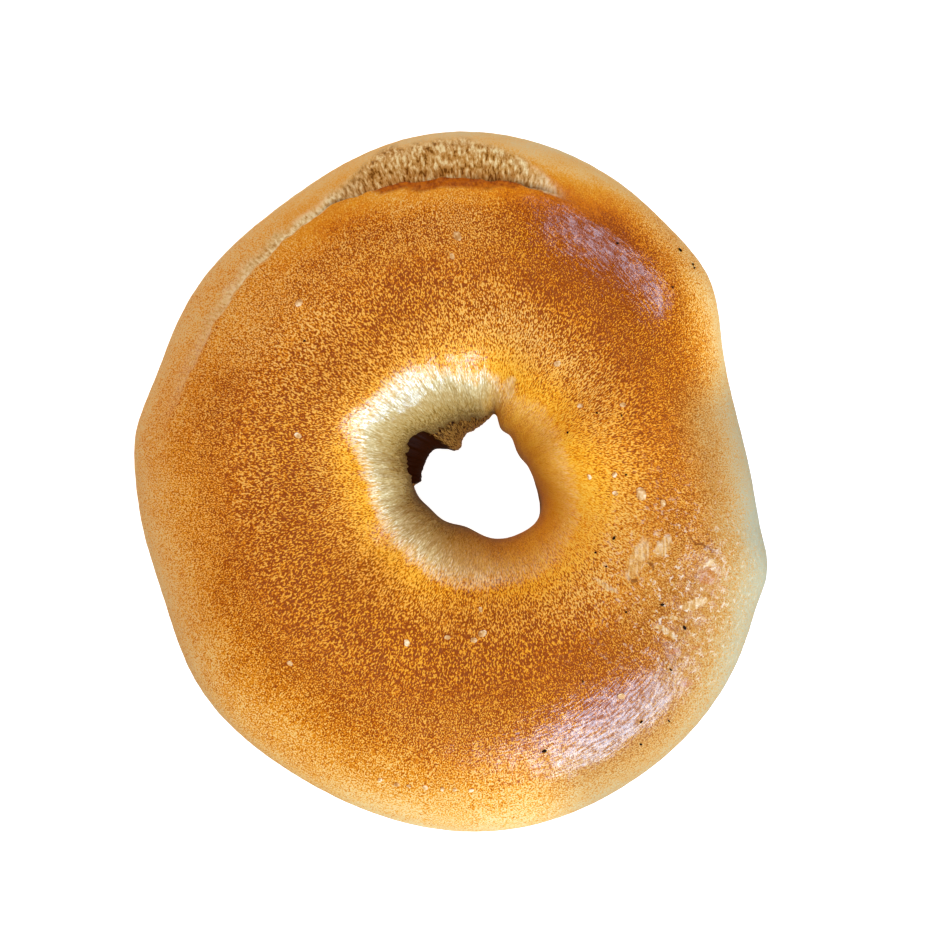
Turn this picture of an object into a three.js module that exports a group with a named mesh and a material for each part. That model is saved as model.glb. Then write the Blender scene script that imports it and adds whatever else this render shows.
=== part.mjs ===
// A plain bagel: one uneven ring of baked dough, resting on its flat base.
// Seen from above, +X is to the right and +Y away, the hole lies right of the middle, and the rope's ends
// were joined at the lower right. Along the far left the upper crust has burst away from the side and shows
// a band of stretched crumb. The hole's left wall ends in a torn lip that hangs over a lower ledge.
// Lengths are millimetres and angles are degrees, counted anticlockwise from +X seen from above.
import * as THREE from "three";

const HALF_WIDTH = 50.6;
const HALF_LENGTH = 54.6;
const THICKNESS = 36;
const CROWN_DROP = 0.9; // of the plain crown below the full thickness, which its slow lumps make up
const WIDEST_HEIGHT = 16; // where the sides bulge furthest and the hole is narrowest
const HOLE_RADIUS = 9.1;
const HOLE_CENTRE = new THREE.Vector2(4.6, 0.55); // from the middle of the outline

const AROUND = 128; // spokes round the ring

// Swellings and flats of the outline and of the hole's edge: each rises at one angle and dies away round it.
const OUTLINE_SWELLINGS = [
  { at: 14.5, rise: -4.8, spread: 18 }, // flat side where it touched the next bagel
  { at: 0, rise: -0.6, spread: 11 },
  { at: 313, rise: 2.9, spread: 23 }, // thick end of the rope
  { at: 344, rise: 1.3, spread: 4 }, // corner of the rope's joint
  { at: 121, rise: -1.9, spread: 15 },
  { at: 135, rise: -1.0, spread: 15 },
  { at: 158, rise: -1.6, spread: 16 },
  { at: 171.5, rise: 1.2, spread: 6 },
  { at: 201, rise: -2.0, spread: 11 },
  { at: 238, rise: -1.1, spread: 13 },
  { at: 79, rise: 0.8, spread: 13 },
  { at: 37, rise: 2.0, spread: 7 },
];
const HOLE_CORNER = { at: 75, rise: 1.6, spread: 4 }; // narrow corner where the rope's end folds over
const HOLE_CORNER_TURN = 20; // how far the corner's fold runs up and down the hole's wall
const HOLE_SWELLINGS = [
  { at: 316, rise: 2.8, spread: 22 },
  { at: 22, rise: -1.5, spread: 33 },
  { at: 62, rise: -1.0, spread: 9 },
  { at: 162, rise: 3.2, spread: 17 }, // torn back
  { at: 199, rise: 0.5, spread: 8 },
];

// The section of the ring: four quarters of a superellipse round a core under the crown.
const CROWN_SHARE = 0.47; // of the way from the hole's edge to the outline
const SQUARENESS = { outerTop: 2.3, innerTop: 2.8, innerBase: 2.9, outerBase: 2.7 };
const BASE_SINK = 2; // how much of the round underside has been pressed flat
const CROWN_SWELLINGS = [
  { at: 205, rise: 0.9, spread: 60 },
  { at: 330, rise: -2.4, spread: 22 }, // low saddle at the rope's joint
  { at: 75, rise: -0.8, spread: 25 },
];

// The burst along the shoulder: the upper crust ends in an edge, and the crumb outside it lies lower.
const BURST_INSET = 7.4; // of the crust's edge from the outline, seen from above
const BURST_INSET_SWELLINGS = [
  { at: 84, rise: 3.0, spread: 16 },
  { at: 114, rise: -0.7, spread: 7 },
];
const BURST_EDGE_WIDTH = 1.4;
const BURST_DEPTHS = [
  { at: 92, rise: 1.5, spread: 15 }, // the wide burst at the far side
  { at: 132, rise: 0.8, spread: 22 }, // the narrow seam that runs on to the left
];
const BURST_EDGE_LIFT = 0.35; // of the crust's edge over the round of the shoulder
const BURST_LIFT_SPREAD = 1.2;
const BURST_RAGGEDNESS = 0.3;
const CRUMB_REACH = 5.6; // how far the low band runs towards the outline

// The torn lip in the hole's left wall, the hollow under it and the ledge below.
const LIP_FROM = 75;
const LIP_TO = 190;
const LIP_FADE = 6;
const LIP_RAGGEDNESS = 0.55;
const LIP_HALF_HEIGHT = 1.1;
const HOLLOW_DEPTH = 2.4;
const HOLLOW_HEIGHT = 13.6;
const HOLLOW_SPREAD = 1.25;
const LEDGE_RADIUS = 8.7; // from the hole's centre
const LEDGE_TONGUES = [
  { at: 131, rise: -3.7, spread: 12 }, // reaches furthest into the hole
  { at: 97, rise: -1.6, spread: 11 },
  { at: 141, rise: -0.8, spread: 5 },
];
const LEDGE_HEIGHT = 8;
const LEDGE_SPREAD = 3.1;

// Slow unevenness of the dough: waves round the ring and round its section.
const LUMP_RISE = 0.28;
const LUMP_WAVES = [
  { round: 3, across: 2, start: 0.6, share: 1 },
  { round: 5, across: -1, start: 2.1, share: 1 },
  { round: 8, across: 3, start: 0, share: 0.7 },
];

// Waves round the ring that together make a torn edge look ragged, each starting at an angle of its own.
const TEAR_WAVES = [
  { round: 31, start: 0, share: 0.5 },
  { round: 53, start: 40, share: 0.3 },
  { round: 97, start: 0, share: 0.2 },
];

// Turns of the section, counted from the outline over the crown to the hole and back under the base.
const TURN = { crown: 90, hole: 180, ledge: 206, holeFoot: 245, base: 292, whole: 360 };
const LOWER_HOLE = { from: 176, to: 250 }; // the stretch of turns that the torn lip and its ledge can change
const ROWS = { shoulder: 6, edge: 2, top: 17, ledge: 9, holeFoot: 4, base: 2, side: 6 };

const turnBetween = (a, b) => ((((a - b + 180) % 360) + 360) % 360) - 180;
const bell = (distance, spread) => Math.exp(-0.5 * (distance / spread) ** 2);
const swelling = (angle, { at, rise, spread }) => rise * bell(turnBetween(angle, at), spread);
const swellings = (angle, list) => list.reduce((sum, one) => sum + swelling(angle, one), 0);
const smoothStep = (x, from, to) => THREE.MathUtils.smoothstep(x, from, to);
const radians = THREE.MathUtils.degToRad;
const direction = (angle) => new THREE.Vector2(Math.cos(radians(angle)), Math.sin(radians(angle)));

// Small steps in and out that are the same for the same angle, for torn edges.
const ragged = (angle) =>
  TEAR_WAVES.reduce((sum, wave) => sum + wave.share * Math.sin(radians(angle * wave.round + wave.start)), 0);

// One spoke runs from the hole's edge to the outline at the same angle about their two centres.
function spokeAt(angle) {
  const out = direction(angle);
  const ellipse = 1 / Math.hypot(out.x / HALF_WIDTH, out.y / HALF_LENGTH);
  const outer = out.clone().multiplyScalar(ellipse + swellings(angle, OUTLINE_SWELLINGS));
  const holeEdge = HOLE_RADIUS + swellings(angle, HOLE_SWELLINGS);
  const inner = out.clone().multiplyScalar(holeEdge).add(HOLE_CENTRE);
  const length = outer.distanceTo(inner);
  const lapEnds = 1 - smoothStep(angle, LIP_TO - LIP_FADE, LIP_TO);
  const lap = smoothStep(angle, LIP_FROM, LIP_FROM + LIP_FADE) * lapEnds;
  return {
    angle,
    inner,
    along: outer.sub(inner).normalize(),
    core: length * CROWN_SHARE,
    length,
    crown: THICKNESS - CROWN_DROP + swellings(angle, CROWN_SWELLINGS),
    burst: swellings(angle, BURST_DEPTHS),
    burstInset: BURST_INSET + swellings(angle, BURST_INSET_SWELLINGS) + BURST_RAGGEDNESS * ragged(angle),
    lap,
    ledgeReach: (holeEdge - LEDGE_RADIUS - swellings(angle, LEDGE_TONGUES)) * lap,
  };
}

// The section's plain skin at a turn that is 0 at the outline and 90 at the crown.
function skin(spoke, turn) {
  const c = Math.cos(radians(turn));
  const s = Math.sin(radians(turn));
  const wide = c > 0 ? spoke.length - spoke.core : spoke.core;
  const high = s > 0 ? spoke.crown - WIDEST_HEIGHT : WIDEST_HEIGHT + BASE_SINK;
  const side = c > 0 ? "outer" : "inner";
  const power = SQUARENESS[side + (s > 0 ? "Top" : "Base")];
  const reach = 1 / (Math.abs(c / wide) ** power + Math.abs(s / high) ** power) ** (1 / power);
  return { u: spoke.core + reach * c, z: WIDEST_HEIGHT + reach * s };
}

// The turn at which the skin of the outer shoulder lies a given inset inside the outline.
function turnAtInset(spoke, inset) {
  const wide = spoke.length - spoke.core;
  const high = spoke.crown - WIDEST_HEIGHT;
  const share = (wide - inset) / wide;
  const rise = high * (1 - share ** SQUARENESS.outerTop) ** (1 / SQUARENESS.outerTop);
  return THREE.MathUtils.radToDeg(Math.atan2(rise, wide - inset));
}

// Turns of the section's points: close together at the crust's edge and in the hole's lower wall.
function sectionTurns(spoke) {
  const edgeOut = turnAtInset(spoke, spoke.burstInset - BURST_EDGE_WIDTH);
  const edgeIn = turnAtInset(spoke, spoke.burstInset);
  const stretches = [
    [0, edgeOut, ROWS.shoulder],
    [edgeOut, edgeIn, ROWS.edge],
    [edgeIn, TURN.hole, ROWS.top],
    [TURN.hole, TURN.ledge, ROWS.ledge],
    [TURN.ledge, TURN.holeFoot, ROWS.holeFoot],
    [TURN.holeFoot, TURN.base, ROWS.base],
    [TURN.base, TURN.whole, ROWS.side],
  ];
  return stretches.flatMap(([from, to, steps]) =>
    Array.from({ length: steps }, (_, k) => from + ((to - from) * k) / steps),
  );
}

// How far the burst moves the skin: a lifted edge, a drop outside it and a slow rise to the outline.
function burstRelief(spoke, inset) {
  const outside = spoke.burstInset - inset;
  const lift = BURST_EDGE_LIFT * bell(outside, BURST_LIFT_SPREAD) * Math.min(1, spoke.burst);
  const overEdge = smoothStep(outside, 0, BURST_EDGE_WIDTH);
  const towardsOutline = smoothStep(outside, BURST_EDGE_WIDTH, CRUMB_REACH + BURST_EDGE_WIDTH);
  return lift * (1 - overEdge) - spoke.burst * overEdge * (1 - towardsOutline);
}

// How far the hole's wall moves back: negative out to the ledge below, positive into the hollow under the lip.
function holeRelief(spoke, z) {
  const tear = LIP_RAGGEDNESS * ragged(spoke.angle) * bell(z - WIDEST_HEIGHT, LIP_HALF_HEIGHT);
  const hollow = HOLLOW_DEPTH * bell(z - HOLLOW_HEIGHT, HOLLOW_SPREAD);
  return spoke.lap * (tear + hollow) - spoke.ledgeReach * bell(z - LEDGE_HEIGHT, LEDGE_SPREAD);
}

function lump(angle, turn) {
  const a = radians(angle);
  const t = radians(turn);
  const wave = ({ round, across, start, share }) => share * Math.sin(round * a + across * t + start);
  return LUMP_RISE * LUMP_WAVES.reduce((sum, one) => sum + wave(one), 0);
}

function sectionPoint(spoke, turn) {
  const { u, z } = skin(spoke, turn);
  const onShoulder = turn < TURN.crown;
  const inLowerHole = turn >= LOWER_HOLE.from && turn < LOWER_HOLE.to;
  const move = lump(spoke.angle, turn) + (onShoulder ? burstRelief(spoke, spoke.length - u) : 0);
  const corner = swelling(spoke.angle, HOLE_CORNER) * bell(turn - TURN.hole, HOLE_CORNER_TURN);
  const back = corner + (inLowerHole ? holeRelief(spoke, z) : 0);
  const across = u + move * Math.cos(radians(turn)) + back;
  const up = Math.max(0, z + move * Math.sin(radians(turn)));
  return new THREE.Vector3(
    spoke.inner.x + spoke.along.x * across,
    spoke.inner.y + spoke.along.y * across,
    up,
  );
}

function bagelGeometry() {
  const positions = [];
  let section = 0;
  for (let i = 0; i < AROUND; i++) {
    const spoke = spokeAt((360 * i) / AROUND);
    const turns = sectionTurns(spoke);
    section = turns.length;
    for (const turn of turns) positions.push(...sectionPoint(spoke, turn).toArray());
  }
  const faces = [];
  for (let i = 0; i < AROUND; i++)
    for (let j = 0; j < section; j++) {
      const here = i * section;
      const next = ((i + 1) % AROUND) * section;
      const up = (j + 1) % section;
      faces.push(here + j, next + j, next + up, here + j, next + up, here + up);
    }
  const geometry = new THREE.BufferGeometry();
  geometry.setAttribute("position", new THREE.Float32BufferAttribute(positions, 3));
  geometry.setIndex(faces);
  return geometry;
}

// The origin is on the base, under the middle of the whole outline.
function standOnOrigin(geometry) {
  geometry.computeBoundingBox();
  const middle = geometry.boundingBox.getCenter(new THREE.Vector3());
  geometry.translate(-middle.x, -middle.y, -geometry.boundingBox.min.z);
  geometry.computeVertexNormals();
  return geometry;
}

const bakedCrust = new THREE.MeshStandardMaterial({ color: 0xc98337, roughness: 0.5, metalness: 0 });

const bagel = new THREE.Mesh(standOnOrigin(bagelGeometry()), bakedCrust);
bagel.name = "bagel";

const group = new THREE.Group();
group.add(bagel);
export default group;
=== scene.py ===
"""A plain bagel on a white floor, seen from above in soft warm light with cool windows to its right.

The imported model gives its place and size. Here the same ring of dough is modelled finely: the crust's burst
edge and the stretched crumb outside it, the torn lip in the hole, the puckered funnel and the rope's joint.
Named lengths are millimetres and angles are degrees, counted anticlockwise from +X seen from above.
"""
import math
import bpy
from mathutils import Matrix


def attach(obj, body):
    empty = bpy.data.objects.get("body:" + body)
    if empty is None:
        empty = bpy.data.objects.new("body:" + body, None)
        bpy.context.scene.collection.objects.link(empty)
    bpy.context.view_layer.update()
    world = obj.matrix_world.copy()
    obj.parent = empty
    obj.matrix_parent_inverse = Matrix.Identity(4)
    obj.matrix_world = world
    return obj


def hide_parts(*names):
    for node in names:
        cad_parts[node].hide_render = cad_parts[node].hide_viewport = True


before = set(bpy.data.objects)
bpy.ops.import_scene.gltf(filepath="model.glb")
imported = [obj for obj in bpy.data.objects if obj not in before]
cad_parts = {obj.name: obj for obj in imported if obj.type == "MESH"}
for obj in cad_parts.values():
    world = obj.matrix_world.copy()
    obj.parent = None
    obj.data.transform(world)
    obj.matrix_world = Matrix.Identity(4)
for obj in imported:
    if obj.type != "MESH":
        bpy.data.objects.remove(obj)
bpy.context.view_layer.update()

from types import SimpleNamespace

import bpy
import numpy as np
from mathutils import Matrix, Quaternion, Vector, noise

MM = 0.001


# Camera: nearly straight down, a little to the lower right of the bagel.
CAMERA_DISTANCE = 420
CAMERA_ELEVATION = 87.5
CAMERA_SIDE = -45  # the way it stands off, counted as the angles are
LOOKS_AT = Vector((3.2, 1.7, 16.0))
FRAME_WIDTH = 149.0  # of the picture, measured at the bagel's widest height
SENSOR = 36.0


def place_camera():
    side = math.radians(CAMERA_SIDE)
    rise = math.radians(CAMERA_ELEVATION)
    back = Vector((math.cos(side) * math.cos(rise), math.sin(side) * math.cos(rise), math.sin(rise)))
    right = Vector((0, 1, 0)).cross(back).normalized()
    turn = Matrix((right, back.cross(right), back)).transposed()
    bpy.ops.object.camera_add(
        location=(LOOKS_AT + back * CAMERA_DISTANCE) * MM,
        rotation=turn.to_euler(),
    )
    camera = bpy.context.object
    camera.data.sensor_width = SENSOR
    camera.data.lens = SENSOR * CAMERA_DISTANCE / FRAME_WIDTH
    bpy.context.scene.camera = camera


place_camera()


# The ring's form, from the same values as the part.
HALF_WIDTH = 50.6
HALF_LENGTH = 54.6
THICKNESS = 36
WIDEST_HEIGHT = 16
HOLE_RADIUS = 9.1
HOLE_CENTRE = (4.6, 0.55)
CROWN_SHARE = 0.47
CROWN_DROP = 0.9
OUTER_TOP, INNER_TOP, INNER_BASE, OUTER_BASE = 2.3, 2.8, 2.9, 2.7  # squareness of the section's quarters
BASE_SINK = 2

# Each swelling: the angle it lies at, its rise and its spread in degrees.
OUTLINE_SWELLINGS = [
    (14.5, -4.8, 18),
    (0, -0.6, 11),
    (313, 2.9, 23),
    (344, 1.3, 4),
    (121, -1.9, 15),
    (135, -1.0, 15),
    (158, -1.6, 16),
    (171.5, 1.2, 6),
    (201, -2.0, 11),
    (238, -1.1, 13),
    (79, 0.8, 13),
    (37, 2.0, 7),
]
HOLE_SWELLINGS = [(316, 2.8, 22), (22, -1.5, 33), (62, -1.0, 9), (162, 3.2, 17), (199, 0.5, 8)]
HOLE_CORNER = (75, 1.6, 4)
HOLE_CORNER_TURN = 20
CROWN_SWELLINGS = [(205, 0.9, 60), (330, -2.4, 22), (75, -0.8, 25)]

BURST_INSET = 7.4
BURST_INSET_SWELLINGS = [(84, 3.0, 16), (114, -0.7, 7)]
BURST_EDGE_WIDTH = 1.4
BURST_DEPTHS = [(92, 1.5, 15), (132, 0.8, 22)]
BURST_EDGE_LIFT, BURST_LIFT_WIDTH = 0.35, 1.2
BURST_RAGGEDNESS = 0.3
CRUMB_REACH = 5.6

LIP_FROM, LIP_TO, LIP_FADE = 75, 190, 6
LIP_RAGGEDNESS = 0.55
LIP_TURN, LIP_SPREAD = 182, 9
HOLE_WALL_FROM, HOLE_WALL_TO = 176, 250  # turns
HOLLOW_DEPTH, HOLLOW_HEIGHT, HOLLOW_SPREAD = 2.4, 13.6, 1.25
LEDGE_RADIUS, LEDGE_HEIGHT, LEDGE_SPREAD = 8.7, 8, 3.1
LEDGE_TONGUES = [(131, -3.7, 12), (97, -1.6, 11), (141, -0.8, 5)]
LUMP_RISE = 0.28

# Bites and tongues of the torn lip: angle, and how far its edge lies back from the plain one.
LIP_STEPS = [(80, 0.0), (105, -0.4), (121, 0.5), (128, 0.0), (139, -0.8), (142, 0.1), (147, 1.0), (156, 0.3)]
LIP_STEPS += [(165, -0.2), (172, 0.3), (180, 0.2), (190, 0.0)]

# The mesh: more spokes where the crust burst and where the rope was joined, and close rows there too.
COLUMNS = 640
CLOSER_COLUMNS = [(92, 1.3, 22), (140, 0.5, 24), (338, 0.7, 14)]
ROWS_OUTSIDE_EDGE, ROWS_DOWN_EDGE, ROWS_TO_CROWN = 30, 8, 27
ROWS_OF_HOLE = [(90, 150, 22), (150, 180, 18), (180, 206, 12), (206, 245, 12)]  # from turn, to turn, rows
ROWS_BELOW = [(245, 292, 5), (292, 360, 18)]
CROWN_TURN, HOLE_TURN = 90, 180
ROPE_RADIUS = 30  # where the crust's grain is as fine round the ring as across it


def bell(distance, spread):
    return np.exp(-0.5 * (distance / spread) ** 2)


def turn_between(a, b):
    return (a - b + 180) % 360 - 180


def swelling(angle, at, rise, spread):
    return rise * bell(turn_between(angle, at), spread)


def swellings(angle, rows):
    return sum(swelling(angle, *row) for row in rows)


def smooth_step(x, low, high):
    share = np.clip((x - low) / (high - low), 0, 1)
    return share * share * (3 - 2 * share)


def between(x, low, high, fade):
    """1 from low to high, fading to 0 over a distance on both sides."""
    return smooth_step(x, low - fade, low) * (1 - smooth_step(x, high, high + fade))


def ragged(angle):
    a = np.radians(angle)
    return 0.5 * np.sin(31 * a) + 0.3 * np.sin(53 * a + math.radians(40)) + 0.2 * np.sin(97 * a)


def noise_at(points, seed):
    """Smooth noise from −1 to 1 with waves of about length 1. Each seed gives another pattern."""
    shift = Vector((31.7 * seed, 12.3 * seed, 7.9 * seed))
    values = [noise.noise(Vector(p) + shift) for p in points.reshape(-1, 3)]
    return np.array(values).reshape(points.shape[:-1])


def spoke_angles():
    """Angles of the columns, closer together by the named swellings."""
    fine = np.linspace(0, 360, 7201)
    density = 1 + swellings(fine, CLOSER_COLUMNS)
    walked = np.concatenate(([0], np.cumsum((density[1:] + density[:-1]) / 2)))
    return np.interp(np.arange(COLUMNS) / COLUMNS * walked[-1], walked, fine)


def make_spokes():
    """One spoke for each column, from the hole's edge to the outline. Every value is a column of numbers."""
    angle = spoke_angles()[:, None]
    out = np.stack((np.cos(np.radians(angle)), np.sin(np.radians(angle))), -1)
    ellipse = 1 / np.hypot(out[..., 0] / HALF_WIDTH, out[..., 1] / HALF_LENGTH)
    outer = out * (ellipse + swellings(angle, OUTLINE_SWELLINGS))[..., None]
    hole_edge = HOLE_RADIUS + swellings(angle, HOLE_SWELLINGS)
    inner = out * hole_edge[..., None] + np.array(HOLE_CENTRE)
    length = np.linalg.norm(outer - inner, axis=-1)
    lap_ends = smooth_step(angle, LIP_TO - LIP_FADE, LIP_TO)
    lap = smooth_step(angle, LIP_FROM, LIP_FROM + LIP_FADE) * (1 - lap_ends)
    return SimpleNamespace(
        angle=angle,
        inner=inner,
        along=(outer - inner) / length[..., None],
        length=length,
        core=length * CROWN_SHARE,
        crown=THICKNESS - CROWN_DROP + swellings(angle, CROWN_SWELLINGS),
        burst=swellings(angle, BURST_DEPTHS),
        burst_inset=BURST_INSET + swellings(angle, BURST_INSET_SWELLINGS) + BURST_RAGGEDNESS * ragged(angle),
        lap=lap,
        ledge_reach=(hole_edge - LEDGE_RADIUS - swellings(angle, LEDGE_TONGUES)) * lap,
    )


def turn_at_inset(spoke, inset):
    """The turn at which the outer shoulder's skin lies that far inside the outline."""
    wide = spoke.length - spoke.core
    share = (wide - inset) / wide
    rise = (spoke.crown - WIDEST_HEIGHT) * (1 - share**OUTER_TOP) ** (1 / OUTER_TOP)
    return np.degrees(np.arctan2(rise, wide - inset))


def section_turns(spoke):
    """Turns of the section's rows: 0 at the outline, 90 at the crown and 180 at the hole's edge."""
    edge_out = turn_at_inset(spoke, spoke.burst_inset - BURST_EDGE_WIDTH)
    edge_in = turn_at_inset(spoke, spoke.burst_inset)
    flat = np.zeros_like(edge_in)
    stretches = [
        (flat, edge_out, ROWS_OUTSIDE_EDGE),
        (edge_out, edge_in, ROWS_DOWN_EDGE),
        (edge_in, flat + CROWN_TURN, ROWS_TO_CROWN),
    ]
    stretches += [(flat + low, flat + high, rows) for low, high, rows in ROWS_OF_HOLE + ROWS_BELOW]
    return np.hstack([low + (high - low) * np.arange(rows) / rows for low, high, rows in stretches])


def skin(spoke, turn):
    """The plain section: how far from the hole's edge and how high, by quarters of a superellipse."""
    c, s = np.cos(np.radians(turn)), np.sin(np.radians(turn))
    outer, top = c > 0, s > 0
    wide = np.where(outer, spoke.length - spoke.core, spoke.core)
    high = np.where(top, spoke.crown - WIDEST_HEIGHT, WIDEST_HEIGHT + BASE_SINK)
    power = np.where(outer, np.where(top, OUTER_TOP, OUTER_BASE), np.where(top, INNER_TOP, INNER_BASE))
    reach = (np.abs(c / wide) ** power + np.abs(s / high) ** power) ** (-1 / power)
    return spoke.core + reach * c, WIDEST_HEIGHT + reach * s


def burst_relief(spoke, inset):
    outside = spoke.burst_inset - inset
    lift = BURST_EDGE_LIFT * bell(outside, BURST_LIFT_WIDTH) * np.minimum(1, spoke.burst)
    over_edge = smooth_step(outside, 0, BURST_EDGE_WIDTH)
    to_outline = smooth_step(outside, BURST_EDGE_WIDTH, CRUMB_REACH + BURST_EDGE_WIDTH)
    return lift * (1 - over_edge) - spoke.burst * over_edge * (1 - to_outline)


def hole_relief(spoke, z):
    hollow = HOLLOW_DEPTH * bell(z - HOLLOW_HEIGHT, HOLLOW_SPREAD)
    return spoke.lap * hollow - spoke.ledge_reach * bell(z - LEDGE_HEIGHT, LEDGE_SPREAD)


def torn_lip(spoke, turn):
    """How far the lip's torn edge lies back from the hole, at and just above the widest height."""
    at, back = zip(*LIP_STEPS)
    steps = np.interp(spoke.angle, at, back)
    return spoke.lap * (LIP_RAGGEDNESS * ragged(spoke.angle) + steps) * bell(turn - LIP_TURN, LIP_SPREAD)


def lump(angle, turn):
    """Slow lumps left by rolling the dough."""
    a, t = np.radians(angle), np.radians(turn)
    return LUMP_RISE * (np.sin(3 * a + 2 * t + 0.6) + np.sin(5 * a - t + 2.1) + 0.7 * np.sin(8 * a + 3 * t))


def ring_grid():
    """The ring's points, column by column, with what the reliefs and the browning need to know of each."""
    spoke = make_spokes()
    turn = section_turns(spoke)
    u, z = skin(spoke, turn)
    move = lump(spoke.angle, turn) + np.where(turn < CROWN_TURN, burst_relief(spoke, spoke.length - u), 0)
    corner = swelling(spoke.angle, *HOLE_CORNER) * bell(turn - HOLE_TURN, HOLE_CORNER_TURN)
    in_wall = (turn >= HOLE_WALL_FROM) & (turn < HOLE_WALL_TO)
    back = corner + torn_lip(spoke, turn) + np.where(in_wall, hole_relief(spoke, z), 0)
    across = u + move * np.cos(np.radians(turn)) + back
    up = np.maximum(0, z + move * np.sin(np.radians(turn)))
    plan = spoke.inner + spoke.along * across[..., None]
    points = np.concatenate((plan, up[..., None]), -1)
    points[..., :2] -= (points[..., :2].min((0, 1)) + points[..., :2].max((0, 1))) / 2
    points[..., 2] -= points[..., 2].min()
    step = np.hypot(np.diff(across, axis=1), np.diff(up, axis=1))
    walked = np.concatenate((np.zeros_like(spoke.angle), np.cumsum(step, 1)), 1)
    last_step = np.hypot(across[:, :1] - across[:, -1:], up[:, :1] - up[:, -1:])
    once_round = walked[:, -1:] + last_step
    walked = np.where(turn > 270, walked - once_round, walked)  # the rope's seam lies under its base
    a = np.radians(spoke.angle) + 0 * turn
    return SimpleNamespace(
        spoke=spoke,
        turn=turn,
        angle=spoke.angle + 0 * turn,
        x=points[..., 0],
        y=points[..., 1],
        points=points,
        inset=spoke.length - u,
        reach=u,
        height=up,
        outside=spoke.burst_inset - (spoke.length - u),
        rope=np.stack((ROPE_RADIUS * np.cos(a), ROPE_RADIUS * np.sin(a), walked), -1),
    )


grid = ring_grid()
ROWS = grid.turn.shape[1]
MAJOR_RADIUS = (HALF_LENGTH + HOLE_RADIUS) / 2
MINOR_RADIUS = (HALF_LENGTH - HOLE_RADIUS) / 2


def make_ring():
    """A round section is spun once round the hole, and its points are then moved to the dough's own form."""
    bpy.ops.object.select_all(action="DESELECT")
    bpy.ops.mesh.primitive_circle_add(
        vertices=ROWS,
        radius=MINOR_RADIUS * MM,
        location=(MAJOR_RADIUS * MM, 0, 0),
        rotation=(math.pi / 2, 0, 0),
    )
    ring = bpy.context.object
    ring.name = "baked_bagel"
    bpy.ops.object.transform_apply(location=True, rotation=True, scale=True)
    bpy.ops.object.mode_set(mode="EDIT")
    bpy.ops.mesh.select_all(action="SELECT")
    bpy.ops.mesh.spin(steps=COLUMNS, angle=2 * math.pi, center=(0, 0, 0), axis=(0, 0, 1))
    bpy.ops.mesh.select_all(action="SELECT")
    bpy.ops.mesh.remove_doubles(threshold=1e-6)
    bpy.ops.mesh.normals_make_consistent(inside=False)
    bpy.ops.object.mode_set(mode="OBJECT")
    x, y, z = places_of(ring).T
    column = np.rint(np.arctan2(y, x) / (2 * math.pi) * COLUMNS).astype(int) % COLUMNS
    across = np.hypot(x, y) - MAJOR_RADIUS * MM
    row = np.rint(np.arctan2(z, across) / (2 * math.pi) * ROWS).astype(int) % ROWS
    order = column * ROWS + row
    put_places(ring, (grid.points * MM).reshape(-1, 3)[order])
    return ring, order


def places_of(piece):
    places = np.zeros(len(piece.data.vertices) * 3, np.float32)
    piece.data.vertices.foreach_get("co", places)
    return places.reshape(-1, 3)


def put_places(piece, places):
    piece.data.vertices.foreach_set("co", places.astype(np.float32).ravel())
    piece.data.update()


def at_vertices(values):
    """A value for each point of the grid, in the order of the ring's vertices."""
    return values.reshape(COLUMNS * ROWS, -1)[order]


def add_attribute(piece, name, values):
    kind, key = ("FLOAT_VECTOR", "vector") if values.ndim == 3 else ("FLOAT", "value")
    attribute = piece.data.attributes.new(name, kind, "POINT")
    attribute.data.foreach_set(key, at_vertices(values).astype(np.float32).ravel())


def stretched(tangential, along):
    """The rope's coordinates in waves: mm round the ring and mm across it."""
    return grid.rope / np.array((tangential, tangential, along))


# Parts of the skin, each a share from 0 to 1. Widths are across the rope and angles are round the ring.
CRUMB_WIDTH, CRUMB_WIDENING = 2.2, 3.9
CRUMB_WANDER, CRUMB_WANDER_SIZE = 0.7, 3.0
FRONT_ANGLE, FRONT_REACH, FRONT_HALF_WIDTH = 91, 15, 1.5
GROOVE_OFFSET, GROOVE_WIDTH = 0.15, 0.28
FUNNEL_REACH, FUNNEL_RAGGEDNESS = 6.9, 0.9
FUNNEL_WIDENINGS = [(134, 3.2, 22), (262, 2.4, 32)]
FUNNEL_SPIKES = (95, 2.2, 12)
FUNNEL_LEAST_PALE = 0.22
JOINT_X, JOINT_Y, JOINT_HALF_WIDTH, JOINT_HALF_LENGTH = 36, -18, 10, 13


def crumb_share():
    """The bare crumb outside the crust's burst edge: a wide band at the far side, with a seam on its left."""
    wander = noise_at(grid.points / CRUMB_WANDER_SIZE, 8)
    angle = grid.angle + 2 * wander
    wider, narrower = smooth_step(angle, 68, 88), 1 - smooth_step(angle, 98, 118)
    width = CRUMB_WIDTH + CRUMB_WIDENING * wider * narrower + CRUMB_WANDER * wander
    there = smooth_step(angle, 66, 76) * (1 - 0.75 * smooth_step(angle, 125, 158))
    there = there * (1 - smooth_step(angle, 156, 172))
    inner_side = BURST_EDGE_WIDTH * (0.5 + 0.5 * between(grid.angle, 80, 100, 8))
    band = smooth_step(grid.outside, inner_side - 0.3, inner_side + 0.1)
    band = band * (1 - smooth_step(grid.outside, inner_side + width - 1.2, inner_side + width + 0.6))
    return np.where(grid.turn < CROWN_TURN, there * band, 0)


def stretched_share():
    """The wide band of crumb, where it was pulled into fibres."""
    return between(grid.angle, 80, 104, 12)


def edge_share():
    """The rolled front of the burst crust, baked hard and orange."""
    lens = np.sqrt(np.clip(1 - ((grid.angle - FRONT_ANGLE) / FRONT_REACH) ** 2, 0, 1))
    side = FRONT_HALF_WIDTH * lens
    face = smooth_step(grid.outside, -side, -1.1 * lens + 0.01)
    face = face * (1 - smooth_step(grid.outside, side - 0.3, side)) * smooth_step(lens, 0, 0.5)
    return np.where(grid.turn < CROWN_TURN, face, 0)


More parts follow.
